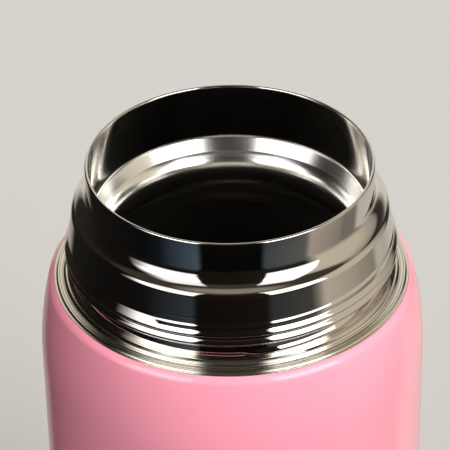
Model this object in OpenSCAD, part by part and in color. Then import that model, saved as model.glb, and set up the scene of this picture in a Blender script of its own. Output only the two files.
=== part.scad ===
// Double-wall vacuum bottle, open mouth, without its closure.
// Origin at the middle of the resting face, +Z up along the axis. Millimetres.
// Every pressed or rolled piece is one outline turned about the axis and given its sheet thickness.
// A height named "drop" is measured down from the top of the rim.

/* [Body] */
// Height from the resting face to the top of the rim
bottle_h = 160; // [110:1:260]
// Outside diameter of the painted body
body_od = 68; // [66:0.5:80]
// Sheet thickness of the painted shell
shell_t = 0.5; // [0.4:0.05:0.8]
// Width of the shoulder, from the side of the body in to the paint edge
shoulder_width = 2.9; // [2.6:0.1:3.4]
// Drop from the rim to the paint edge
paint_edge_drop = 22.3; // [21.8:0.1:24]
// Fall of the shoulder where it starts, from level
shoulder_fall = 25; // [20:1:30]
// Lean of the side from upright, where the short round of the shoulder ends
side_lean = 14; // [10:1:14]
// Large radius by which the shoulder runs into the side
side_round = 60; // [45:1:60]
// Radius of the rolled-in foot of the shell
foot_round = 2.5; // [1.5:0.1:4]
// Height of the shell's foot above the resting face
foot_lift = 0.8; // [0.5:0.1:2]

/* [Neck] */
// Sheet thickness of the neck
neck_t = 0.3; // [0.25:0.05:0.35]
// Width of the collar, from the paint edge in to the closure groove
collar_width = 2.7; // [2.5:0.1:3]
// Height of the two lower ridges above the closure groove
ridge_height = 0.65; // [0.5:0.05:0.8]
// Step from the crest of the lower ridges in to the lower end of the closure band
ridge_step = 0.9; // [0.7:0.05:1]
// Taper of the closure band, from its lower end in to the upper ridge
band_taper = 0.75; // [0.5:0.05:0.9]
// Width of the flare, from the upper ridge in to the smooth band under the rim
flare_width = 2.6; // [2.5:0.05:2.8]
// Radius of the hollow flare under the smooth band
flare_round = 3.4; // [2.5:0.1:3.4]
// Rounding of the upper ridge
upper_ridge_round = 1.2; // [0.6:0.1:1.2]
// Drop to the upper ridge
upper_ridge_drop = 8.5; // [8:0.1:9.2]
// Drop to the crest of the upper one of the two lower ridges
lower_ridge_drop = 15.4; // [14.8:0.1:15.8]
// Distance between the two lower ridges
ridge_pitch = 1.9; // [1.8:0.1:2]
// Depth of the valley between the two lower ridges
ridge_valley = 0.45; // [0.3:0.05:0.5]
// Drop to the foot of the closure groove
groove_foot_drop = 20.2; // [19.8:0.1:20.4]
// Width of the bead at the foot of the groove
bead_width = 0.7; // [0.5:0.05:0.9]
// Length of the skirt that the shell laps over
lap_length = 3; // [2:0.5:6]

/* [Liner] */
// Sheet thickness of the liner
liner_t = 0.3; // [0.25:0.05:0.35]
// Width of the vacuum space between the liner and the shell
vacuum_gap = 2.4; // [2:0.1:4]
// Drop from the rim to the stopper ledge
ledge_drop = 10.6; // [9.5:0.1:10.8]
// Width of the sloping stopper ledge
ledge_width = 1.6; // [1.4:0.1:1.8]
// Drop from the rim to the crease under the ledge
crease_drop = 12.7; // [12.4:0.1:13]
// Width of the seat bead, from the crease in to the throat
seat_width = 1.8; // [1.7:0.1:2]
// Rounding of the seat bead
seat_round = 4; // [2:0.1:4]
// Length of the throat, from the crease to where the liner opens out
throat_length = 6; // [5.5:0.1:6.5]
// Drop from the rim to the widest part of the liner
liner_shoulder_drop = 27; // [26.5:0.5:32]
// Height of the liner's floor above the resting face
liner_floor = 15; // [14:0.5:20]
// Corner radius of the liner's floor
floor_round = 8; // [5:0.5:10]
// Rise of the liner's floor at its middle
floor_rise = 1; // [0.5:0.1:2]

/* [Vacuum space] */
// Thickness of the heat-reflecting foil
foil_t = 0.1; // [0.05:0.01:0.2]
// Clearance between the foil and the liner
foil_gap = 0.05; // [0.02:0.01:0.2]
// Drop from the rim to the top of the foil
foil_top_drop = 34; // [32:1:45]
// Distance of the foil disc's edge from the corner of the liner's floor
foil_margin = 2.8; // [0.5:0.1:6]
// Radius of the getter pellet
getter_r = 3.5; // [2:0.1:4]
// Thickness of the getter pellet
getter_h = 1.6; // [1:0.1:2]
// Distance of the getter from the axis
getter_offset = 15; // [14:0.5:18]
// Thickness of the getter's clip
clip_t = 0.3; // [0.2:0.05:0.4]
// Width of the getter's clip
clip_w = 4; // [3:0.1:5]
// Length of each foot of the getter's clip
clip_foot = 2.5; // [2:0.1:4]

/* [Base] */
// Height of the top of the outer base above the resting face
base_top = 10; // [9:0.1:10.5]
// Sheet thickness of the outer base
base_t = 0.6; // [0.5:0.05:0.8]
// Length of the skirt by which the outer base is welded into the shell
base_skirt = 4; // [3:0.1:5]
// Radius of the evacuation hole
hole_r = 0.8; // [0.5:0.1:1.2]
// Radius of the recess round the evacuation hole
recess_r = 4.5; // [3.5:0.1:6]
// Depth of the recess round the evacuation hole
recess_depth = 1.5; // [1.2:0.1:2]
// Thickness of the seal over the evacuation hole
seal_h = 1; // [0.6:0.1:1.2]
// Clearance round the base cover
cover_gap = 0.2; // [0.1:0.05:0.4]
// Sheet thickness of the base cover
cover_t = 0.4; // [0.3:0.05:0.6]
// Height of the flange of the base cover
cover_flange = 4; // [3:0.1:4.5]
// Distance of the foot ring from the edge of the base cover
pad_margin = 4.8; // [3:0.1:6]
// Width of the foot ring
pad_width = 6; // [4:0.5:8]
// Depth of the groove that holds the foot ring
pad_groove = 1.2; // [1:0.1:2]
// Clearance between the foot ring and the walls of its groove
pad_gap = 0.2; // [0.1:0.05:0.5]
// Thickness of the adhesive over the foot ring
adhesive_t = 0.2; // [0.1:0.05:0.4]

/* [Hidden] */
$fn = 96;
arc_step = 10;

painted = "#f9a8bd";
mirror_steel = "#b9b6b2";
satin_steel = "#9d9b98";
copper = "#c07a4c";
sealing_glass = "#54606a";
zirconium = "#6b6a68";
silicone = "#8c8c8e";
tape = "#e6e0cf";

body_r = body_od / 2;
shell_inner_r = body_r - shell_t;
paint_edge_r = body_r - shoulder_width;
groove_r = paint_edge_r - collar_width;
lower_ridge_r = groove_r + ridge_height;
band_end_r = lower_ridge_r - ridge_step;
upper_ridge_r = band_end_r - band_taper;
rim_r = upper_ridge_r - flare_width;
mouth_r = rim_r - neck_t - liner_t;
crease_r = mouth_r - ledge_width;
throat_r = crease_r - seat_width;
liner_r = shell_inner_r - vacuum_gap - liner_t;
lip_round = (neck_t + liner_t) / 2;
opening_r = body_r - foot_round - shell_t;
cover_r = opening_r - cover_gap;
pad_outer_r = cover_r - pad_margin;
pad_inner_r = pad_outer_r - pad_width;
foil_disc_r = liner_r - floor_round - foil_margin;
liner_seam = liner_floor + floor_round + floor_rise;

// Height of a point that lies a given drop below the top of the rim
function at_drop(drop) = bottle_h - drop;

// Unit vector from a to b
function along(a, b) = (b - a) / norm(b - a);
// The vector to the right of v
function right_of(v) = [v[1], -v[0]];
// The r and z of a corner [r, z, rounding]
function place(corner) = [corner[0], corner[1]];
// The points of a path in reverse order
function backwards(path) = [for (i = [len(path) - 1:-1:0]) path[i]];

// The arc that rounds the corner at b, on the way from a to c
function round_corner(a, b, c, radius) =
    let (back = along(b, a), on = along(b, c),
         half = acos(back * on) / 2,
         centre = b + along([0, 0], back + on) * radius / sin(half),
         start = b + back * radius / tan(half) - centre,
         start_angle = atan2(start[1], start[0]),
         turn = (180 - 2 * half) * sign(cross(-back, on)),
         steps = max(2, ceil(abs(turn) / arc_step)))
    [for (k = [0:steps]) let (angle = start_angle + turn * k / steps)
        centre + radius * [cos(angle), sin(angle)]];

// A path through corners [r, z, rounding]; a corner without a rounding stays sharp
function rounded(corners) = [for (i = [0:len(corners) - 1])
    each len(corners[i]) < 3 ? [corners[i]]
        : round_corner(place(corners[i - 1]), place(corners[i]), place(corners[i + 1]),
                       corners[i][2])];

// A path moved sideways by t, to the right of its direction
function moved(path, t) = let (last = len(path) - 1)
    [for (i = [0:last])
        let (before = right_of(along(path[max(i - 1, 0)], path[max(i, 1)])),
             after = right_of(along(path[min(i, last - 1)], path[min(i + 1, last)])))
        path[i] + t * (before + after) / (1 + before * after)];

// A sheet that follows a path, with its thickness t to the right of the path
module sheet(path, t) {
    rotate_extrude() polygon(concat(path, backwards(moved(path, t))));
}

// A flat ring
module ring(inner_r, outer_r, bottom, height) {
    translate([0, 0, bottom]) difference() {
        cylinder(r = outer_r, h = height);
        translate([0, 0, -1]) cylinder(r = inner_r, h = height + 2);
    }
}

// The shoulder is a short round at the paint edge and one long round that runs into the side.
// A depth gives the same line that far inside the sheet.
edge_round = (shoulder_width - side_round * (1 - cos(side_lean)))
           / (cos(side_lean) - sin(shoulder_fall));
edge_centre = [paint_edge_r, at_drop(paint_edge_drop)]
            - edge_round * [sin(shoulder_fall), cos(shoulder_fall)];
side_centre = edge_centre + (edge_round - side_round) * [cos(side_lean), sin(side_lean)];
function shoulder_line(depth, lean_end) = concat(
    [for (k = [0:5]) let (angle = 90 - shoulder_fall + (side_lean + shoulder_fall - 90) * k / 6)
        edge_centre + (edge_round - depth) * [cos(angle), sin(angle)]],
    [for (k = [0:6]) let (angle = side_lean + (lean_end - side_lean) * k / 6)
        side_centre + (side_round - depth) * [cos(angle), sin(angle)]]);

// Outside of the shell, from the paint edge down to the rolled-in foot
shell_path = concat(shoulder_line(0, 0), rounded([
    [body_r, foot_lift + 2 * foot_round],
    [body_r, foot_lift, foot_round],
    [opening_r, foot_lift]]));

// Inside of the shoulder, which the skirt of the neck follows
lap_path = shoulder_line(shell_t, side_lean - lap_length / side_round * 180 / PI);

// Outside of the neck, from under the lip down to the paint edge
ledge_fall = 25;
small_round = 0.6;
ridge_round = 0.5;
bead_round = 0.4;
ledge_round = 1.5;
ledge_start_drop = upper_ridge_drop - (upper_ridge_r - rim_r) * tan(ledge_fall);
second_ridge_drop = lower_ridge_drop + ridge_pitch;
bead_drop = groove_foot_drop + bead_width / 2;
neck_outside = rounded([
    [rim_r, at_drop(lip_round)],
    [rim_r, at_drop(ledge_start_drop), flare_round],
    [upper_ridge_r, at_drop(upper_ridge_drop), upper_ridge_round],
    [band_end_r, at_drop(lower_ridge_drop - 1.5 * ridge_step), ridge_round],
    [lower_ridge_r, at_drop(lower_ridge_drop), ridge_round],
    [lower_ridge_r - ridge_valley, at_drop(lower_ridge_drop + ridge_pitch / 2), ridge_round],
    [lower_ridge_r, at_drop(second_ridge_drop), ridge_round],
    [groove_r, at_drop(second_ridge_drop + ridge_height), ridge_round],
    [groove_r, at_drop(groove_foot_drop), ridge_round],
    [groove_r + bead_width, at_drop(bead_drop), bead_round],
    [groove_r + 1.3 * bead_width, at_drop(bead_drop + bead_width / 2), bead_round],
    [paint_edge_r, at_drop(paint_edge_drop)]]);

// The half-round lip, from the inside of the mouth over to the outside
lip_path = [for (angle = [180:-arc_step:arc_step])
    [rim_r - lip_round, at_drop(lip_round)] + lip_round * [cos(angle), sin(angle)]];

// Inside of the liner, from under the lip down to its seam with the liner base
liner_path = rounded([
    [mouth_r, at_drop(lip_round)],
    [mouth_r, at_drop(ledge_drop), ledge_round],
    [crease_r, at_drop(crease_drop), small_round],
    [throat_r, at_drop(crease_drop + 0.8 * seat_width), seat_round],
    [throat_r, at_drop(crease_drop + throat_length), seat_round],
    [liner_r, at_drop(liner_shoulder_drop), floor_round],
    [liner_r, liner_seam]]);

// Inside of the liner base, from its seam in to the axis
floor_path = rounded([
    [liner_r, liner_seam],
    [liner_r, liner_floor, floor_round],
    [liner_r - 2 * floor_round, liner_floor, floor_round],
    [recess_r, liner_floor + floor_rise, floor_round],
    [0, liner_floor + floor_rise]]);

// Top of the outer base, from the evacuation hole out and down its skirt
recess_round = 2 * base_t;
base_path = rounded([
    [hole_r, base_top + recess_depth],
    [recess_r, base_top + recess_depth, recess_round],
    [recess_r + small_round, base_top, small_round],
    [shell_inner_r, base_top, foot_round],
    [shell_inner_r, base_top - base_skirt - base_t]]);

// Underside of the base cover, from the top of its flange down and in to the axis
cover_path = rounded([
    [cover_r, foot_lift + cover_flange],
    [cover_r, foot_lift, small_round + cover_t],
    [pad_outer_r + pad_gap, foot_lift],
    [pad_outer_r + pad_gap, foot_lift + pad_groove],
    [pad_inner_r - pad_gap, foot_lift + pad_groove],
    [pad_inner_r - pad_gap, foot_lift],
    [recess_r, foot_lift + cover_t, foot_round],
    [0, foot_lift + cover_t]]);

module outer_shell() {
    color(painted) sheet(shell_path, shell_t);
}

// The neck is rolled from one sheet, closes over the liner's top edge with a half-round lip
// and laps under the shell's shoulder
module neck_fitting() {
    inside = concat(moved(neck_outside, neck_t), moved(lap_path, neck_t));
    color(mirror_steel)
        rotate_extrude() polygon(concat(lip_path, neck_outside, lap_path, backwards(inside)));
}

module inner_liner() {
    color(mirror_steel) sheet(liner_path, -liner_t);
}

module liner_base() {
    color(mirror_steel) sheet(floor_path, -liner_t);
}

module foil_wrap() {
    inner_r = liner_r + liner_t + foil_gap;
    color(copper)
        ring(inner_r, inner_r + foil_t, liner_seam, at_drop(foil_top_drop) - liner_seam);
}

module foil_disc() {
    top = liner_floor - liner_t - foil_gap;
    color(copper) translate([0, 0, top - foil_t]) cylinder(r = foil_disc_r, h = foil_t);
}

module outer_base() {
    color(satin_steel) sheet(base_path, base_t);
}

module vacuum_seal() {
    top = base_top + recess_depth - base_t;
    seal_r = recess_r - base_t - pad_gap;
    color(sealing_glass) translate([0, 0, top - seal_h]) cylinder(r = seal_r, h = seal_h);
}

module getter() {
    color(zirconium) translate([getter_offset, 0, base_top])
        cylinder(r = getter_r, h = getter_h);
}

// A strap over the pellet with two feet welded to the outer base
module getter_clip() {
    strap = 2 * (getter_r + pad_gap + clip_t);
    color(satin_steel) translate([getter_offset, 0, base_top]) difference() {
        union() {
            translate([-clip_w / 2, -strap / 2, 0]) cube([clip_w, strap, getter_h + clip_t]);
            translate([-clip_w / 2, -strap / 2 - clip_foot, 0])
                cube([clip_w, strap + 2 * clip_foot, clip_t]);
        }
        translate([0, 0, -clip_t]) cylinder(r = getter_r + pad_gap, h = getter_h + clip_t);
    }
}

module base_cover() {
    color(satin_steel) sheet(cover_path, cover_t);
}

module pad_adhesive() {
    color(tape)
        ring(pad_inner_r, pad_outer_r, foot_lift + pad_groove - adhesive_t, adhesive_t);
}

module base_pad() {
    color(silicone)
        ring(pad_inner_r, pad_outer_r, 0, foot_lift + pad_groove - adhesive_t);
}

outer_shell();
neck_fitting();
inner_liner();
liner_base();
foil_wrap();
foil_disc();
outer_base();
vacuum_seal();
getter();
getter_clip();
base_cover();
pad_adhesive();
base_pad();
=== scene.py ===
"""Dresses the double-wall vacuum bottle: painted shell, polished screw neck, liner and base."""
import math

import bpy
from mathutils import Matrix, Vector


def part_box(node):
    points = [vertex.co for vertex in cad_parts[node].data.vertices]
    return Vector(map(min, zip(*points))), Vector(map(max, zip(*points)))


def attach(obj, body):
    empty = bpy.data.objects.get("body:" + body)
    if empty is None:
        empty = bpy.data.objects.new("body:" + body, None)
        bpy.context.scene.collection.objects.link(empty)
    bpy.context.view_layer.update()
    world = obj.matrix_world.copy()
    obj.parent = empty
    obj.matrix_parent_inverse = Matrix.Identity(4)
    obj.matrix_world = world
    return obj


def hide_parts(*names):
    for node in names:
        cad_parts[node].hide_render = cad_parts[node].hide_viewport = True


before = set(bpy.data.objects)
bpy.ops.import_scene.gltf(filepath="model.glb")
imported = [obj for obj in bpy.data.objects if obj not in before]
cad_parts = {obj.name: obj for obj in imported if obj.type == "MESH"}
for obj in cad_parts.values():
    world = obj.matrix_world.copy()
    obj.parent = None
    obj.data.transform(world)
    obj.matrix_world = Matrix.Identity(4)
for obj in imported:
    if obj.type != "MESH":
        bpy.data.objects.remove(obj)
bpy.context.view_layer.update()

bl_info = {
    "name": "Vacuum Bottle",
    "version": (1, 0, 0),
    "blender": (4, 5, 0),
    "location": "View3D > Sidebar > Bottle",
    "description": "Models and finishes a double-wall vacuum bottle with an open mouth",
    "category": "Add Mesh",
}

MM = 0.001
BODY = "root"

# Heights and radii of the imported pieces, in metres
RIM_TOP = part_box("neck_fitting")[1].z
BODY_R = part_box("outer_shell")[1].x
SHELL_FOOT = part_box("outer_shell")[0].z
PAINT_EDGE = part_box("outer_shell")[1].z
LINER_OUTER_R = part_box("inner_liner")[1].x
LINER_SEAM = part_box("inner_liner")[0].z
FLOOR_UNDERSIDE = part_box("liner_base")[0].z
COVER_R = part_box("base_cover")[1].x
COVER_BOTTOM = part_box("base_cover")[0].z
COVER_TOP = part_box("base_cover")[1].z
PAD_OUTER_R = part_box("base_pad")[1].x
PAD_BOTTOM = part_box("base_pad")[0].z
PAD_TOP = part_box("base_pad")[1].z


# ---------------------------------------------------------------- colours and nodes


def linear(hex_colour):
    """A colour written as sRGB hex, as linear red, green, blue and alpha."""
    channels = [int(hex_colour[i:i + 2], 16) / 255 for i in (1, 3, 5)]
    return [c / 12.92 if c <= 0.04045 else ((c + 0.055) / 1.055) ** 2.4 for c in channels] + [1]


def add(tree, kind, inputs=None, stops=(), **settings):
    """Adds a node, sets its fields, sets or links its inputs, and fills its colour stops."""
    made = tree.nodes.new(kind)
    for i, (at, colour) in enumerate(stops):
        stop = made.color_ramp.elements[i] if i < 2 else made.color_ramp.elements.new(at)
        stop.position, stop.color = at, colour
    for field, value in settings.items():
        setattr(made, field, value)
    for socket, value in (inputs or {}).items():
        if isinstance(value, bpy.types.NodeSocket):
            tree.links.new(value, made.inputs[socket])
        else:
            made.inputs[socket].default_value = value
    return made


def new_material(name):
    """An empty material and its tree, with an output waiting for a surface."""
    material = bpy.data.materials.new(name)
    material.use_nodes = True
    material.node_tree.nodes.clear()
    return material, material.node_tree


# ---------------------------------------------------------------- sizes and settings


class BottleSizes(bpy.types.PropertyGroup):
    """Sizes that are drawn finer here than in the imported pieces."""

    rim_radius: bpy.props.FloatProperty(
        name="Rim radius", description="Outside radius of the rim",
        default=24.8 * MM, unit="LENGTH")
    sheet: bpy.props.FloatProperty(
        name="Sheet", description="Thickness of the neck's and the liner's sheet",
        default=0.3 * MM, unit="LENGTH")
    shell_sheet: bpy.props.FloatProperty(
        name="Shell sheet", description="Thickness of the painted shell",
        default=0.5 * MM, unit="LENGTH")
    paint_radius: bpy.props.FloatProperty(
        name="Paint edge radius", description="Radius at which the paint ends on the shoulder",
        default=31.1 * MM, unit="LENGTH")
    side_round: bpy.props.FloatProperty(
        name="Side round", description="Large radius by which the shoulder runs into the side",
        default=60 * MM, unit="LENGTH")
    thread_lead: bpy.props.FloatProperty(
        name="Thread lead", description="Rise of the rolled thread in one turn",
        default=6.8 * MM, unit="LENGTH")
    turning_pitch: bpy.props.FloatProperty(
        name="Turning pitch", description="Distance between the turning marks on the collar",
        default=0.28 * MM, unit="LENGTH")
    spin_steps: bpy.props.IntProperty(
        name="Spin steps", description="Steps of a full turn in the finely turned pieces",
        default=320, min=64, max=400)


class BottleFinish(bpy.types.PropertyGroup):
    """Colours of the visible surfaces."""

    paint: bpy.props.FloatVectorProperty(
        name="Paint", description="Colour of the baked enamel",
        subtype="COLOR", size=4, default=linear("#F79AAD"))
    steel: bpy.props.FloatVectorProperty(
        name="Steel", description="Colour of the polished stainless steel",
        subtype="COLOR", size=4, default=linear("#D6D2CC"))
    silicone: bpy.props.FloatVectorProperty(
        name="Silicone", description="Colour of the foot ring",
        subtype="COLOR", size=4, default=linear("#8C8C8E"))


class BottleStage(bpy.types.PropertyGroup):
    """Camera and studio, measured from the middle of the rim."""

    camera_back: bpy.props.FloatProperty(
        name="Camera back", description="How far the camera stands in front of the rim",
        default=370 * MM, unit="LENGTH")
    camera_up: bpy.props.FloatProperty(
        name="Camera up", description="How far the camera stands above the rim",
        default=244.4 * MM, unit="LENGTH")
    aim_aside: bpy.props.FloatProperty(
        name="Aim aside", description="Where the camera aims, to the right of the axis",
        default=-1.0 * MM, unit="LENGTH")
    aim_below: bpy.props.FloatProperty(
        name="Aim below", description="Where the camera aims, below the rim",
        default=13.35 * MM, unit="LENGTH")
    camera_roll: bpy.props.FloatProperty(
        name="Camera roll", description="Turn of the camera about its view axis",
        default=math.radians(-1.05), subtype="ANGLE")
    lens: bpy.props.FloatProperty(
        name="Lens", description="Focal length on a 36 mm sensor",
        default=208, unit="CAMERA")
    softbox: bpy.props.FloatProperty(
        name="Softbox", description="Brightness of the two softboxes", default=6.0)
    fill: bpy.props.FloatProperty(
        name="Fill", description="Strength of the broad lamp to the right of the camera",
        default=2.45)
    ceiling: bpy.props.FloatVectorProperty(
        name="Ceiling", description="Colour of the ceiling over the bottle",
        subtype="COLOR", size=4, default=linear("#9A9486"))
    cove: bpy.props.FloatVectorProperty(
        name="Cove", description="Colour of the shaded wall under the ceiling",
        subtype="COLOR", size=4, default=linear("#453F37"))
    floor: bpy.props.FloatVectorProperty(
        name="Floor", description="Colour of the floor and backdrop",
        subtype="COLOR", size=4, default=linear("#C3C1BD"))


# ---------------------------------------------------------------- outlines


def arc_corner(before, corner, after, radius, step=math.radians(5)):
    """Points of the arc that rounds a corner between its two neighbours."""
    corner = Vector(corner)
    back = (Vector(before) - corner).normalized()
    on = (Vector(after) - corner).normalized()
    half = math.acos(max(-1, min(1, back.dot(on)))) / 2
    centre = corner + (back + on).normalized() * (radius / math.sin(half))
    start = corner + back * (radius / math.tan(half)) - centre
    turn = math.pi - 2 * half
    if back.x * on.y - back.y * on.x > 0:
        turn = -turn
    steps = max(3, math.ceil(abs(turn) / step))
    first = math.atan2(start.y, start.x)
    arc = [centre + radius * Vector((math.cos(first + turn * k / steps),
                                     math.sin(first + turn * k / steps)))
           for k in range(steps + 1)]
    hold = 0.015 * MM  # short flat pieces beside the arc keep the shading off the straight parts
    return [tuple(p) for p in (arc[0] + back * hold, *arc, arc[-1] + on * hold)]


def rounded(corners):
    """A path through corners (r, z) or (r, z, rounding)."""
    path = []
    for i, corner in enumerate(corners):
        if len(corner) == 2:
            path.append(tuple(corner))
        else:
            path += arc_corner(corners[i - 1][:2], corner[:2], corners[i + 1][:2], corner[2])
    return path


def moved(path, distance):
    """A path moved sideways, to the right of its direction."""
    points = [Vector(p) for p in path]
    result = []
    for i, point in enumerate(points):
        before = (points[max(i, 1)] - points[max(i - 1, 0)]).normalized()
        after = (points[min(i + 1, len(points) - 1)]
                 - points[min(i, len(points) - 2)]).normalized()
        n0, n1 = Vector((before.y, -before.x)), Vector((after.y, -after.x))
        result.append(tuple(point + (n0 + n1) * (distance / (1 + n0.dot(n1)))))
    return result


def dense(path, spacing):
    """The same path with points no further apart than the spacing."""
    result = [path[0]]
    for a, b in zip(path, path[1:]):
        parts = max(1, math.ceil(math.dist(a, b) / spacing))
        result += [tuple(Vector(a).lerp(Vector(b), k / parts)) for k in range(1, parts + 1)]
    return result


def sealed_side(path, distance):
    """The other side of a sheet, where it faces the closed vacuum space: drawn more coarsely."""
    side = moved(path, distance)
    return [p for i, p in enumerate(side) if i % 3 == 0 or i == len(side) - 1]


def at_drop(r, drop, *rounding):
    """A corner given in millimetres: its radius, its drop below the rim and its rounding."""
    return (r * MM, RIM_TOP - drop * MM, *(x * MM for x in rounding))


# ---------------------------------------------------------------- modelling


def turned(name, outline, steps, closed=True):
    """Draws an outline point by point and spins it round the axis.

    A closed outline is a ring's section; an open one starts and ends on the axis.
    """
    bpy.ops.object.select_all(action="DESELECT")
    bpy.ops.mesh.primitive_plane_add(size=MM, location=(0, 0, 0))
    piece = bpy.context.object
    piece.name = piece.data.name = name
    bpy.ops.object.mode_set(mode="EDIT")
    bpy.ops.mesh.select_mode(type="VERT")
    bpy.ops.mesh.select_all(action="SELECT")
    bpy.ops.mesh.merge(type="CENTER")
    path = list(outline) + ([outline[0]] if closed else [])
    bpy.ops.transform.translate(value=(path[0][0], 0, path[0][1]))
    for (r0, z0), (r1, z1) in zip(path, path[1:]):
        bpy.ops.mesh.extrude_region_move(
            TRANSFORM_OT_translate={"value": (r1 - r0, 0, z1 - z0)})
    bpy.ops.mesh.select_all(action="SELECT")
    bpy.ops.mesh.remove_doubles(threshold=MM / 1000)
    bpy.ops.mesh.select_all(action="SELECT")
    bpy.ops.mesh.spin(steps=steps, angle=2 * math.pi, center=(0, 0, 0), axis=(0, 0, 1))
    bpy.ops.mesh.select_all(action="SELECT")
    bpy.ops.mesh.remove_doubles(threshold=MM / 1000)
    bpy.ops.mesh.select_all(action="SELECT")
    bpy.ops.mesh.normals_make_consistent(inside=False)
    bpy.ops.object.mode_set(mode="OBJECT")
    bpy.ops.object.shade_smooth_by_angle(angle=math.radians(35))
    return piece


def refinish(piece, material, drop, inner=0.0):
    """Gives another material to the faces below a drop and outside a radius, in millimetres."""
    piece.data.materials.append(material)
    for face in piece.data.polygons:
        low = RIM_TOP - face.center.z > drop * MM
        if low and math.hypot(face.center.x, face.center.y) > inner * MM:
            face.material_index = len(piece.data.materials) - 1


def dress(piece, material, slot, *nodes):
    """Gives a piece its material, hangs it on the body it rides on and hides the imported pieces it
    stands for.
    """
    piece.data.materials.clear()
    piece.data.materials.append(material)
    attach(piece, BODY)
    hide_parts(*nodes)


# ---------------------------------------------------------------- materials


def polished_steel(finish):
    """Stainless steel, rolled and buffed: near-mirror reflections, a little broken by fine lines
    that run round the turned piece."""
    material, tree = new_material("polished_stainless_steel")
    place = add(tree, "ShaderNodeTexCoord").outputs["Object"]
    # Buffing lines are too fine to show, so they are drawn nine to the millimetre, and each
    # runs about 25 mm
    lines = add(tree, "ShaderNodeMapping",
                {"Vector": place, "Scale": (0.04 / MM, 0.04 / MM, 9 / MM)})
    grain = add(tree, "ShaderNodeTexNoise",
                {"Vector": lines.outputs["Vector"], "Scale": 1, "Detail": 3})
    smudge = add(tree, "ShaderNodeTexNoise",
                 {"Vector": place, "Scale": 0.09 / MM, "Detail": 2})  # 11 mm across
    gloss = add(tree, "ShaderNodeMapRange",
                {"Value": smudge.outputs["Fac"], "From Min": 0.35, "From Max": 0.7,
                 "To Min": 0.035, "To Max": 0.075})
    bump = add(tree, "ShaderNodeBump",
               {"Height": grain.outputs["Fac"], "Strength": 0.04, "Distance": 0.02 * MM})
    shader = add(tree, "ShaderNodeBsdfPrincipled",
                 {"Base Color": finish.steel[:], "Metallic": 1,
                  "Roughness": gloss.outputs["Result"], "Normal": bump.outputs["Normal"]})
    add(tree, "ShaderNodeOutputMaterial", {"Surface": shader.outputs["BSDF"]})
    return material


def electropolished_steel(name, haze_low, haze_high):
    """Stainless steel, polished in an acid bath after drawing: bright but a little hazy, so
    that edges in its reflections are soft, and softer still where the sheet was stretched."""
    material, tree = new_material(name)
    place = add(tree, "ShaderNodeTexCoord").outputs["Object"]
    haze = add(tree, "ShaderNodeTexNoise",
               {"Vector": place, "Scale": 0.12 / MM, "Detail": 2})  # 8 mm across
    gloss = add(tree, "ShaderNodeMapRange",
                {"Value": haze.outputs["Fac"], "From Min": 0.35, "From Max": 0.7,
                 "To Min": haze_low, "To Max": haze_high})
    shader = add(tree, "ShaderNodeBsdfPrincipled",
                 {"Base Color": linear("#EFECE7"), "Metallic": 1,
                  "Roughness": gloss.outputs["Result"]})
    add(tree, "ShaderNodeOutputMaterial", {"Surface": shader.outputs["BSDF"]})
    return material


def turned_steel(sizes):
    """Stainless steel faced on a lathe: its fine rings break each reflection into lines round the
    axis and draw it out across them. The rings are drawn coarse enough to show."""
    material, tree = new_material("lathe_turned_stainless_steel")
    place = add(tree, "ShaderNodeTexCoord").outputs["Object"]
    parts = add(tree, "ShaderNodeSeparateXYZ", {"Vector": place})
    flat = add(tree, "ShaderNodeCombineXYZ", {"X": parts.outputs["X"], "Y": parts.outputs["Y"]})
    radius = add(tree, "ShaderNodeVectorMath", {"Vector": flat.outputs["Vector"]},
                 operation="LENGTH")
    along = add(tree, "ShaderNodeCombineXYZ", {"X": radius.outputs["Value"]})
    rings = add(tree, "ShaderNodeTexNoise",
                {"Vector": along.outputs["Vector"], "Scale": 1 / sizes.turning_pitch,
                 "Detail": 1})
    tone = add(tree, "ShaderNodeValToRGB", {"Fac": rings.outputs["Fac"]},
               stops=[(0.32, linear("#8C857A")), (0.56, linear("#EEE8DC"))])
    round_axis = add(tree, "ShaderNodeTangent", direction_type="RADIAL", axis="Z")
    bump = add(tree, "ShaderNodeBump",
               {"Height": rings.outputs["Fac"], "Strength": 0.2, "Distance": 0.02 * MM})
    shader = add(tree, "ShaderNodeBsdfPrincipled",
                 {"Base Color": tone.outputs["Color"], "Metallic": 1, "Roughness": 0.2,
                  "Anisotropic": 0.9, "Anisotropic Rotation": 0.25,
                  "Tangent": round_axis.outputs["Tangent"], "Normal": bump.outputs["Normal"]})
    add(tree, "ShaderNodeOutputMaterial", {"Surface": shader.outputs["BSDF"]})
    return material


def pink_enamel(finish):
    """Baked enamel sprayed over steel: an even colour under a clear gloss with faint orange
    peel."""
    material, tree = new_material("baked_enamel_pink")
    place = add(tree, "ShaderNodeTexCoord").outputs["Object"]
    peel = add(tree, "ShaderNodeTexNoise",
               {"Vector": place, "Scale": 0.7 / MM, "Detail": 1})  # 1.4 mm across
    cloud = add(tree, "ShaderNodeTexNoise",
                {"Vector": place, "Scale": 0.025 / MM, "Detail": 2})  # 40 mm across
    tone = add(tree, "ShaderNodeHueSaturation",
               {"Color": finish.paint[:],
                "Value": add(tree, "ShaderNodeMapRange",
                             {"Value": cloud.outputs["Fac"], "To Min": 0.98,
                              "To Max": 1.02}).outputs["Result"]})
    bump = add(tree, "ShaderNodeBump",
               {"Height": peel.outputs["Fac"], "Strength": 0.08, "Distance": 0.02 * MM})
    shader = add(tree, "ShaderNodeBsdfPrincipled",
                 {"Base Color": tone.outputs["Color"], "Roughness": 0.4, "IOR": 1.5,
                  "Coat Weight": 1, "Coat Roughness": 0.025, "Coat IOR": 1.5,
                  "Normal": bump.outputs["Normal"], "Coat Normal": bump.outputs["Normal"]})
    add(tree, "ShaderNodeOutputMaterial", {"Surface": shader.outputs["BSDF"]})
    return material


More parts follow.
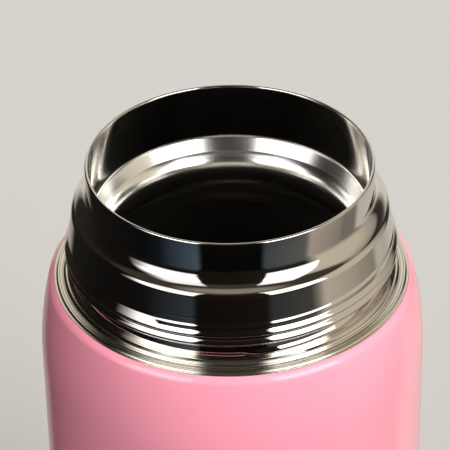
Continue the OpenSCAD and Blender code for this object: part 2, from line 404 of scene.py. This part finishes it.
def plain_finish(name, colour, metallic, roughness, grains, depth):
    """A finish for the small and sealed pieces: its colour varies a little with a fine grain,
    given as so many grains a millimetre and their depth."""
    material, tree = new_material(name)
    place = add(tree, "ShaderNodeTexCoord").outputs["Object"]
    grain = add(tree, "ShaderNodeTexNoise", {"Vector": place, "Scale": grains / MM, "Detail": 4})
    value = add(tree, "ShaderNodeMapRange",
                {"Value": grain.outputs["Fac"], "To Min": 0.9, "To Max": 1.1})
    tone = add(tree, "ShaderNodeHueSaturation", {"Color": colour, "Value": value.outputs["Result"]})
    bump = add(tree, "ShaderNodeBump",
               {"Height": grain.outputs["Fac"], "Strength": 0.3, "Distance": depth})
    shader = add(tree, "ShaderNodeBsdfPrincipled",
                 {"Base Color": tone.outputs["Color"], "Metallic": metallic,
                  "Roughness": roughness, "Normal": bump.outputs["Normal"]})
    add(tree, "ShaderNodeOutputMaterial", {"Surface": shader.outputs["BSDF"]})
    return material


# ---------------------------------------------------------------- the pieces


def shoulder(sizes, depth=0.0, lean_end=0.0):
    """The shoulder from the paint edge outwards: a short round, then one long round that runs
    into the side. A depth draws the same line that far inside the sheet."""
    fall = math.radians(25)  # slope of the shoulder where the paint begins
    lean = math.radians(14)  # how far from level the two rounds' shared radius points
    big = sizes.side_round
    small = ((BODY_R - sizes.paint_radius - big * (1 - math.cos(lean)))
             / (math.cos(lean) - math.sin(fall)))
    edge = Vector((sizes.paint_radius, PAINT_EDGE))
    first = edge - small * Vector((math.sin(fall), math.cos(fall)))
    second = first + (small - big) * Vector((math.cos(lean), math.sin(lean)))
    start = math.pi / 2 - fall
    turns = [(first, small, start + (lean - start) * k / 12) for k in range(12)]
    turns += [(second, big, lean + (lean_end - lean) * k / 14) for k in range(15)]
    return [tuple(centre + (radius - depth) * Vector((math.cos(a), math.sin(a))))
            for centre, radius, a in turns]


class BOTTLE_OT_neck(bpy.types.Operator):
    """Model the polished screw neck with its lip, rolled thread and turned collar"""

    bl_idname = "bottle.neck"
    bl_label = "Screw Neck"

    # The plain band that the thread is rolled into, as (drop, radius) in millimetres
    BAND = ((9.6, 27.55), (15.7, 28.4), (19.35, 28.4), (19.95, 28.355), (20.5, 28.355))
    # Rolled ridges: drop at the front, height, half width above and below, power by which the
    # flank bends, lead against the thread's own, and the turns between which the ridge stands,
    # in degrees from the front. The first and the fourth meet behind the neck as one thread
    RIDGES = (
        (15.8, 0.56, 0.92, 0.52, 2, 0.25, -200, 165),
        (15.75, 0.62, 1.75, 0.5, 1.15, 0.25, -100, -17),
        (14.3, 0.17, 0.36, 1.6, 2, 0.5, -36, 160),
        (17.5, 0.54, 0.84, 0.55, 2, 0.25, -165, 200),
        (20.15, 0.4, 0.8, 0.42, 2, 1.5, 3, 52),
        (12.9, 0.02, 0.12, 0.12, 2, 0.3, -30, -3),
    )
    LEAN = 0.3  # share of the lead by which the band's rows lean
    LEAN_FADE = 60  # degrees before the back over which the lean fades out
    LEAN_TOP, LEAN_BOTTOM = 2.5, 2  # millimetres over which it fades at the band's two ends
    RUN_OUT = 14  # degrees over which a ridge rises from the band at its ends
    SKIN = 0.1  # millimetres under the band, within which a point belongs to its outer face

    def band_radius(self, drop):
        """Radius of the band before the thread is rolled in."""
        for (d0, r0), (d1, r1) in zip(self.BAND, self.BAND[1:]):
            if drop <= d1:
                return r0 + (r1 - r0) * (drop - d0) / (d1 - d0)
        return self.BAND[-1][1]

    def roll_thread(self, neck, lead):
        """Leans the band's rows along the thread, then pushes them out along the ridges, which
        rise to the right and run out."""
        top, bottom = self.BAND[0][0], self.BAND[-1][0]
        for vertex in neck.data.vertices:
            x, y, z = vertex.co / MM
            drop, radius = RIM_TOP / MM - z, math.hypot(x, y)
            if not top < drop < bottom or radius < self.band_radius(drop) - self.SKIN:
                continue
            turn = math.degrees(math.atan2(x, -y))
            ease = min(1, (180 - abs(turn)) / self.LEAN_FADE)
            hold = min(1, (drop - top) / self.LEAN_TOP, (bottom - drop) / self.LEAN_BOTTOM)
            drop -= self.LEAN * lead / MM * turn / 360 * ease * hold
            height = 0
            for front, tall, above, below, bend, share, start, end in self.RIDGES:
                if not start < turn < end:
                    continue
                run = min(1, (turn - start) / self.RUN_OUT, (end - turn) / self.RUN_OUT)
                off = drop - (front - share * lead / MM * turn / 360)
                width = above if off < 0 else below
                if abs(off) < width:
                    swell = 1 - (abs(off) / width) ** bend
                    height = max(height, tall * swell * run * run * (3 - 2 * run))
            reach = (self.band_radius(drop) + height) / radius
            vertex.co = (vertex.co.x * reach, vertex.co.y * reach, RIM_TOP - drop * MM)

    def execute(self, context):
        sizes, finish = context.scene.bottle_sizes, context.scene.bottle_finish
        rim = sizes.rim_radius / MM
        lip = sizes.sheet / MM
        (band_top, band_top_r), (root, root_r) = self.BAND[0], self.BAND[-1]
        lip_arc = [at_drop(rim - lip + lip * math.cos(a), lip - lip * math.sin(a))
                   for a in (math.pi * (1 - k / 14) for k in range(14))]
        flare = rounded([
            at_drop(rim, lip),
            at_drop(rim, 7.29, 3.4),
            at_drop(27.4, 8.5, 1.2),
            at_drop(band_top_r, band_top)])
        band = dense([at_drop(r, drop) for drop, r in self.BAND], 0.16 * MM)
        collar = rounded([
            at_drop(root_r, root),
            at_drop(28.36, 21.0, 0.2),
            at_drop(28.74, 21.3, 0.06),
            at_drop(28.98, 21.325, 0.04),
            at_drop(29.38, 21.74, 0.06),
            at_drop(29.85, 21.87, 0.04),
            at_drop(30.45, 21.96, 0.05),
            at_drop(30.7, 22.2, 0.05),
            at_drop(31.04, 22.24, 0.03),
            at_drop(31.06, 22.36)])
        outside = flare + band[1:-1] + collar
        lap = shoulder(sizes, sizes.shell_sheet, math.radians(11))[1:]
        inside = moved(flare[:-1] + [at_drop(band_top_r, band_top), at_drop(28.0, 15.5),
                                     at_drop(28.2, 20.9), at_drop(31.0, 22.3)], sizes.sheet)
        outline = (lip_arc + outside + lap[::2] + sealed_side(lap, sizes.sheet)[::-1]
                   + inside[::-1])
        neck = turned("screw_neck", outline, sizes.spin_steps)
        self.roll_thread(neck, sizes.thread_lead)
        dress(neck, polished_steel(finish), "mirror_steel", "neck_fitting")
        refinish(neck, turned_steel(sizes), drop=20.6, inner=28.7)
        return {"FINISHED"}


class BOTTLE_OT_shell(bpy.types.Operator):
    """Model the painted shell with its shoulder and its rolled-in foot"""

    bl_idname = "bottle.shell"
    bl_label = "Painted Shell"

    def execute(self, context):
        sizes, finish = context.scene.bottle_sizes, context.scene.bottle_finish
        edge_round, foot_round, foot_inner = 0.08 * MM, 2.5 * MM, 31 * MM
        top = shoulder(sizes)
        inner = shoulder(sizes, sizes.shell_sheet)
        edge = arc_corner(inner[0], top[0], top[1], edge_round, math.radians(15))
        foot = rounded([top[-1], (BODY_R, SHELL_FOOT, foot_round), (foot_inner, SHELL_FOOT)])
        outside = edge[1:] + top[1:] + foot[1:]
        inside = inner[::2] + sealed_side(foot[1:], sizes.shell_sheet)
        shell = turned("painted_shell", outside + inside[::-1], sizes.spin_steps)
        dress(shell, pink_enamel(finish), "pink_paint", "outer_shell")
        return {"FINISHED"}


class BOTTLE_OT_liner(bpy.types.Operator):
    """Model the liner with its stopper ledge, seat bead and throat"""

    bl_idname = "bottle.liner"
    bl_label = "Liner"

    def execute(self, context):
        sizes = context.scene.bottle_sizes
        mouth = (sizes.rim_radius - 2 * sizes.sheet) / MM
        throat = 20.8
        wall = LINER_OUTER_R / MM - sizes.sheet / MM
        inside = rounded([
            at_drop(mouth, 0.3),
            at_drop(mouth, 10.6, 1.5),
            at_drop(22.6, 12.7, 0.3),
            at_drop(throat, 14.14, 4),
            at_drop(throat, 18.7, 4),
            at_drop(wall, 27, 8),
            (wall * MM, LINER_SEAM)])
        liner = turned("liner_wall", inside + sealed_side(inside, -sizes.sheet)[::-1],
                       sizes.spin_steps)
        dress(liner, electropolished_steel("electropolished_stainless_steel", 0.08, 0.12),
              "mirror_steel", "inner_liner")
        refinish(liner, electropolished_steel("electropolished_ledge", 0.17, 0.22), drop=10.2)
        # The throat and the floor take drawn steel, duller than the polished mouth; its darker
        # colour is painted shade for the deep inside of the bottle.
        drawn = plain_finish("drawn_steel_darkened_as_painted_shade", linear("#A8A298"), 1, 0.36, 1.2,
                             0.01 * MM)
        refinish(liner, drawn, drop=18.9)
        floor = FLOOR_UNDERSIDE + sizes.sheet
        bend, rise, recess = 8 * MM, 1 * MM, 4.5 * MM
        dish = rounded([
            (wall * MM, LINER_SEAM),
            (wall * MM, floor, bend),
            (wall * MM - 2 * bend, floor, bend),
            (recess, floor + rise, bend),
            (0, floor + rise)])
        base = turned("liner_floor", dish + sealed_side(dish, -sizes.sheet)[::-1], 128)
        # The liner's floor takes the same darker steel, painted shade at the bottom of the bottle.
        dress(base, drawn, "mirror_steel", "liner_base")
        return {"FINISHED"}


class BOTTLE_OT_base(bpy.types.Operator):
    """Model the bottom cover and the foot ring in its groove"""

    bl_idname = "bottle.base"
    bl_label = "Base"

    def execute(self, context):
        sizes, finish = context.scene.bottle_sizes, context.scene.bottle_finish
        groove = 1.2 * MM
        gap = 0.2 * MM
        sheet = 0.4 * MM
        pad_inner = 20 * MM
        bead, bead_half = 16.4 * MM, 0.6 * MM
        recess = 4.5 * MM
        under = rounded([
            (COVER_R, COVER_TOP),
            (COVER_R, COVER_BOTTOM, 1 * MM),
            (PAD_OUTER_R + gap, COVER_BOTTOM),
            (PAD_OUTER_R + gap, COVER_BOTTOM + groove),
            (pad_inner - gap, COVER_BOTTOM + groove),
            (pad_inner - gap, COVER_BOTTOM, 0.3 * MM),
            (bead + bead_half, COVER_BOTTOM, 0.5 * MM),
            (bead, COVER_BOTTOM + 0.4 * MM, 0.5 * MM),
            (bead - bead_half, COVER_BOTTOM + 0.05 * MM, 0.5 * MM),
            (recess, COVER_BOTTOM + sheet, 2.5 * MM),
            (0, COVER_BOTTOM + sheet)])
        cover = turned("bottom_cover", under + sealed_side(under, sheet)[::-1], 192)
        dress(cover, turned_steel(sizes), "satin_steel", "base_cover")
        edge = 0.4 * MM
        cut = 0.2 * MM  # depth and half width of the two grooves under the ring
        section = rounded([
            (pad_inner, (PAD_TOP + PAD_BOTTOM) / 2),
            (pad_inner, PAD_BOTTOM, edge),
            *((pad_inner + at * MM + k * cut, PAD_BOTTOM + cut * (1 - abs(k)))
              for at in (2, 4) for k in (-1, 0, 1)),
            (PAD_OUTER_R, PAD_BOTTOM, edge),
            (PAD_OUTER_R, PAD_TOP),
            (pad_inner, PAD_TOP)])
        ring = turned("foot_ring", section, 128)
        dress(ring, plain_finish("moulded_silicone", finish.silicone[:], 0, 0.6, 1.5,
                                 0.02 * MM), "silicone", "base_pad")
        return {"FINISHED"}


class BOTTLE_OT_vacuum_space(bpy.types.Operator):
    """Give the sealed pieces of the vacuum space and the base their finishes"""

    bl_idname = "bottle.vacuum_space"
    bl_label = "Vacuum Space"

    def execute(self, context):
        copper = plain_finish("rolled_copper_foil", linear("#C98B62"), 1, 0.25, 0.4, 0.02 * MM)
        satin = plain_finish("pressed_stainless_steel", linear("#A9A6A1"), 1, 0.4, 0.9,
                             0.01 * MM)
        glass = plain_finish("fused_sealing_glass", linear("#54606A"), 0, 0.15, 0.3, 0.02 * MM)
        pellet = plain_finish("sintered_zirconium", linear("#6B6A68"), 1, 0.7, 2.5, 0.05 * MM)
        tape = plain_finish("acrylic_adhesive", linear("#E6E0CF"), 0, 0.5, 0.9, 0.02 * MM)
        finishes = {"foil_wrap": copper, "foil_disc": copper, "outer_base": satin,
                    "vacuum_seal": glass, "getter": pellet, "getter_clip": satin,
                    "pad_adhesive": tape}
        for name, material in finishes.items():
            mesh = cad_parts[name].data
            mesh.materials.clear()
            mesh.materials.append(material)
        return {"FINISHED"}


# ---------------------------------------------------------------- the stage


def flat_material(name, colour):
    """A plain matt surface."""
    material, tree = new_material(name)
    shader = add(tree, "ShaderNodeBsdfPrincipled",
                 {"Base Color": colour, "Roughness": 1, "Specular IOR Level": 0})
    add(tree, "ShaderNodeOutputMaterial", {"Surface": shader.outputs["BSDF"]})
    return material


# What the polished steel sees round it, by azimuth in degrees: 0 is the camera's side, right is
# positive. The ground lies low, and the walls stand above it
WALLS = ((-180, "#F2EEE6"), (-154, "#E9E3D8"), (-146, "#322E29"), (-112, "#1E1B18"),
         (-98, "#16130F"), (0, "#1E1712"), (55, "#2A251F"), (66, "#DDD3C0"), (104, "#D6CCB8"),
         (126, "#A79F93"), (131, "#2E2B27"), (141, "#4A4640"), (149, "#E9E3D8"),
         (180, "#F2EEE6"))
GROUND = ((-180, "#C8C2BA"), (-154, "#A39A8E"), (-144, "#1E1C19"), (-72, "#0E1012"),
          (-58, "#151A20"), (-27, "#4F5D6B"), (-23, "#0B0B0C"), (23, "#0B0B0C"),
          (27, "#4A5258"), (60, "#66665F"), (65, "#B8ADA2"), (95, "#988E84"), (98, "#857E76"),
          (114, "#857E76"), (120, "#D2CCC2"), (180, "#C8C2BA"))
SOFTBOXES = ((-180, 0), (-78, 0), (-70, 0.25), (-60, 0.85), (-26, 0.85), (-24, 0), (24, 0),
             (26, 1), (64, 1), (66, 0), (180, 0))

# How much of each is there, by elevation in degrees
SOFTBOX_RISE = ((-1, 0), (6, 0.36), (20, 0.36), (25, 1), (36, 1), (41, 0.3), (58, 0.25),
                (62, 0))
WALL_RISE = ((-32, 0), (-14, 1))
COVE_RISE = ((46, 0), (53, 1))
CEILING_RISE = ((70, 0), (78, 1))

# A Mix node's colour sockets, which share their names with its other sockets
MIX_A, MIX_B, MIXED = 6, 7, 2


def angle_stops(reach, stops):
    """Colour stops over an angle that runs from minus its reach to its reach. Each is given in
    degrees, with a hex colour or a grey."""
    return [((at + reach) / (2 * reach),
             linear(tone) if isinstance(tone, str) else (tone, tone, tone, 1))
            for at, tone in stops]


def studio_light(stage):
    """A world with two tall softboxes left and right of the camera, under a grey ceiling."""
    world = bpy.data.worlds.new("studio_light")
    world.use_nodes = True
    tree = world.node_tree
    tree.nodes.clear()
    parts = add(tree, "ShaderNodeSeparateXYZ",
                {"Vector": add(tree, "ShaderNodeTexCoord").outputs["Generated"]})
    front = add(tree, "ShaderNodeMath", {0: parts.outputs["Y"], 1: -1}, operation="MULTIPLY")
    azimuth = add(tree, "ShaderNodeMath", {0: parts.outputs["X"], 1: front.outputs[0]},
                  operation="ARCTAN2")
    turn = add(tree, "ShaderNodeMapRange",
               {"Value": azimuth.outputs[0], "From Min": -math.pi, "From Max": math.pi})
    elevation = add(tree, "ShaderNodeMath", {0: parts.outputs["Z"]}, operation="ARCSINE")
    height = add(tree, "ShaderNodeMapRange",
                 {"Value": elevation.outputs[0], "From Min": -math.pi / 2,
                  "From Max": math.pi / 2})
    walls, ground, boxes = (
        add(tree, "ShaderNodeValToRGB", {"Fac": turn.outputs["Result"]},
            stops=angle_stops(180, ring)).outputs["Color"]
        for ring in (WALLS, GROUND, SOFTBOXES))
    tall, above, upper, over = (
        add(tree, "ShaderNodeValToRGB", {"Fac": height.outputs["Result"]},
            stops=angle_stops(90, span)).outputs["Color"]
        for span in (SOFTBOX_RISE, WALL_RISE, COVE_RISE, CEILING_RISE))
    room = ground
    for share, tone in ((above, walls), (upper, stage.cove[:]), (over, stage.ceiling[:])):
        room = add(tree, "ShaderNodeMix", {"Factor": share, MIX_A: room, MIX_B: tone},
                   data_type="RGBA").outputs[MIXED]
    lit = add(tree, "ShaderNodeMath", {0: boxes, 1: tall}, operation="MULTIPLY")
    lamp = add(tree, "ShaderNodeMath", {0: lit.outputs[0], 1: stage.softbox},
               operation="MULTIPLY")
    total = add(tree, "ShaderNodeMix", {"Factor": 1.0, MIX_A: room, MIX_B: lamp.outputs[0]},
                data_type="RGBA", blend_type="ADD")
    glow = add(tree, "ShaderNodeBackground", {"Color": total.outputs[MIXED], "Strength": 1})
    add(tree, "ShaderNodeOutputWorld", {"Surface": glow.outputs["Background"]})
    return world


class BOTTLE_OT_stage(bpy.types.Operator):
    """Set the floor, the soft light and the camera"""

    bl_idname = "bottle.stage"
    bl_label = "Stage"

    def execute(self, context):
        stage = context.scene.bottle_stage
        scene = context.scene
        scene.view_settings.view_transform = "Standard"
        bpy.ops.object.select_all(action="DESELECT")
        below = 0.05 * MM  # keeps the floor clear of the foot ring's own face
        bpy.ops.mesh.primitive_plane_add(size=8, location=(0, 0, -below))
        floor = context.object
        floor.name = "studio_floor"
        floor.data.materials.append(flat_material("studio_floor", stage.floor[:]))
        # The world's ground tones stand for the floor in reflections and in bounced light
        floor.visible_glossy = False
        floor.visible_diffuse = False

        scene.world = studio_light(stage)
        bpy.ops.object.light_add(type="SUN", rotation=(math.radians(48), 0, math.radians(45)))
        lamp = context.object
        lamp.name = "fill_lamp"
        lamp.data.energy = stage.fill
        lamp.data.angle = math.radians(50)
        lamp.visible_glossy = False

        data = bpy.data.cameras.new("camera")
        data.lens = stage.lens
        camera = bpy.data.objects.new("camera", data)
        camera.location = (0, -stage.camera_back, RIM_TOP + stage.camera_up)
        target = Vector((stage.aim_aside, 0, RIM_TOP - stage.aim_below))
        look = (target - camera.location).to_track_quat("-Z", "Y").to_matrix()
        roll = Matrix.Rotation(stage.camera_roll, 3, "Z")
        camera.rotation_euler = (look @ roll).to_euler()
        scene.collection.objects.link(camera)
        scene.camera = camera
        return {"FINISHED"}


class BOTTLE_PT_panel(bpy.types.Panel):
    """The bottle's pieces, in the order in which they are made"""

    bl_label = "Vacuum Bottle"
    bl_idname = "BOTTLE_PT_panel"
    bl_space_type = "VIEW_3D"
    bl_region_type = "UI"
    bl_category = "Bottle"

    def draw(self, context):
        for group in (context.scene.bottle_sizes, context.scene.bottle_finish,
                      context.scene.bottle_stage):
            for name in group.__annotations__:
                self.layout.prop(group, name)
        for operator in OPERATORS:
            self.layout.operator(operator.bl_idname)


GROUPS = {"bottle_sizes": BottleSizes, "bottle_finish": BottleFinish,
          "bottle_stage": BottleStage}
OPERATORS = (BOTTLE_OT_stage, BOTTLE_OT_neck, BOTTLE_OT_shell, BOTTLE_OT_liner, BOTTLE_OT_base,
             BOTTLE_OT_vacuum_space)


def register():
    for cls in (*GROUPS.values(), *OPERATORS, BOTTLE_PT_panel):
        bpy.utils.register_class(cls)
    for name, group in GROUPS.items():
        setattr(bpy.types.Scene, name, bpy.props.PointerProperty(type=group))


def unregister():
    for name in GROUPS:
        delattr(bpy.types.Scene, name)
    for cls in (BOTTLE_PT_panel, *reversed(OPERATORS), *GROUPS.values()):
        bpy.utils.unregister_class(cls)


def main():
    register()
    bpy.ops.bottle.stage()
    bpy.ops.bottle.neck()
    bpy.ops.bottle.shell()
    bpy.ops.bottle.liner()
    bpy.ops.bottle.base()
    bpy.ops.bottle.vacuum_space()


if __name__ == "__main__":
    main()
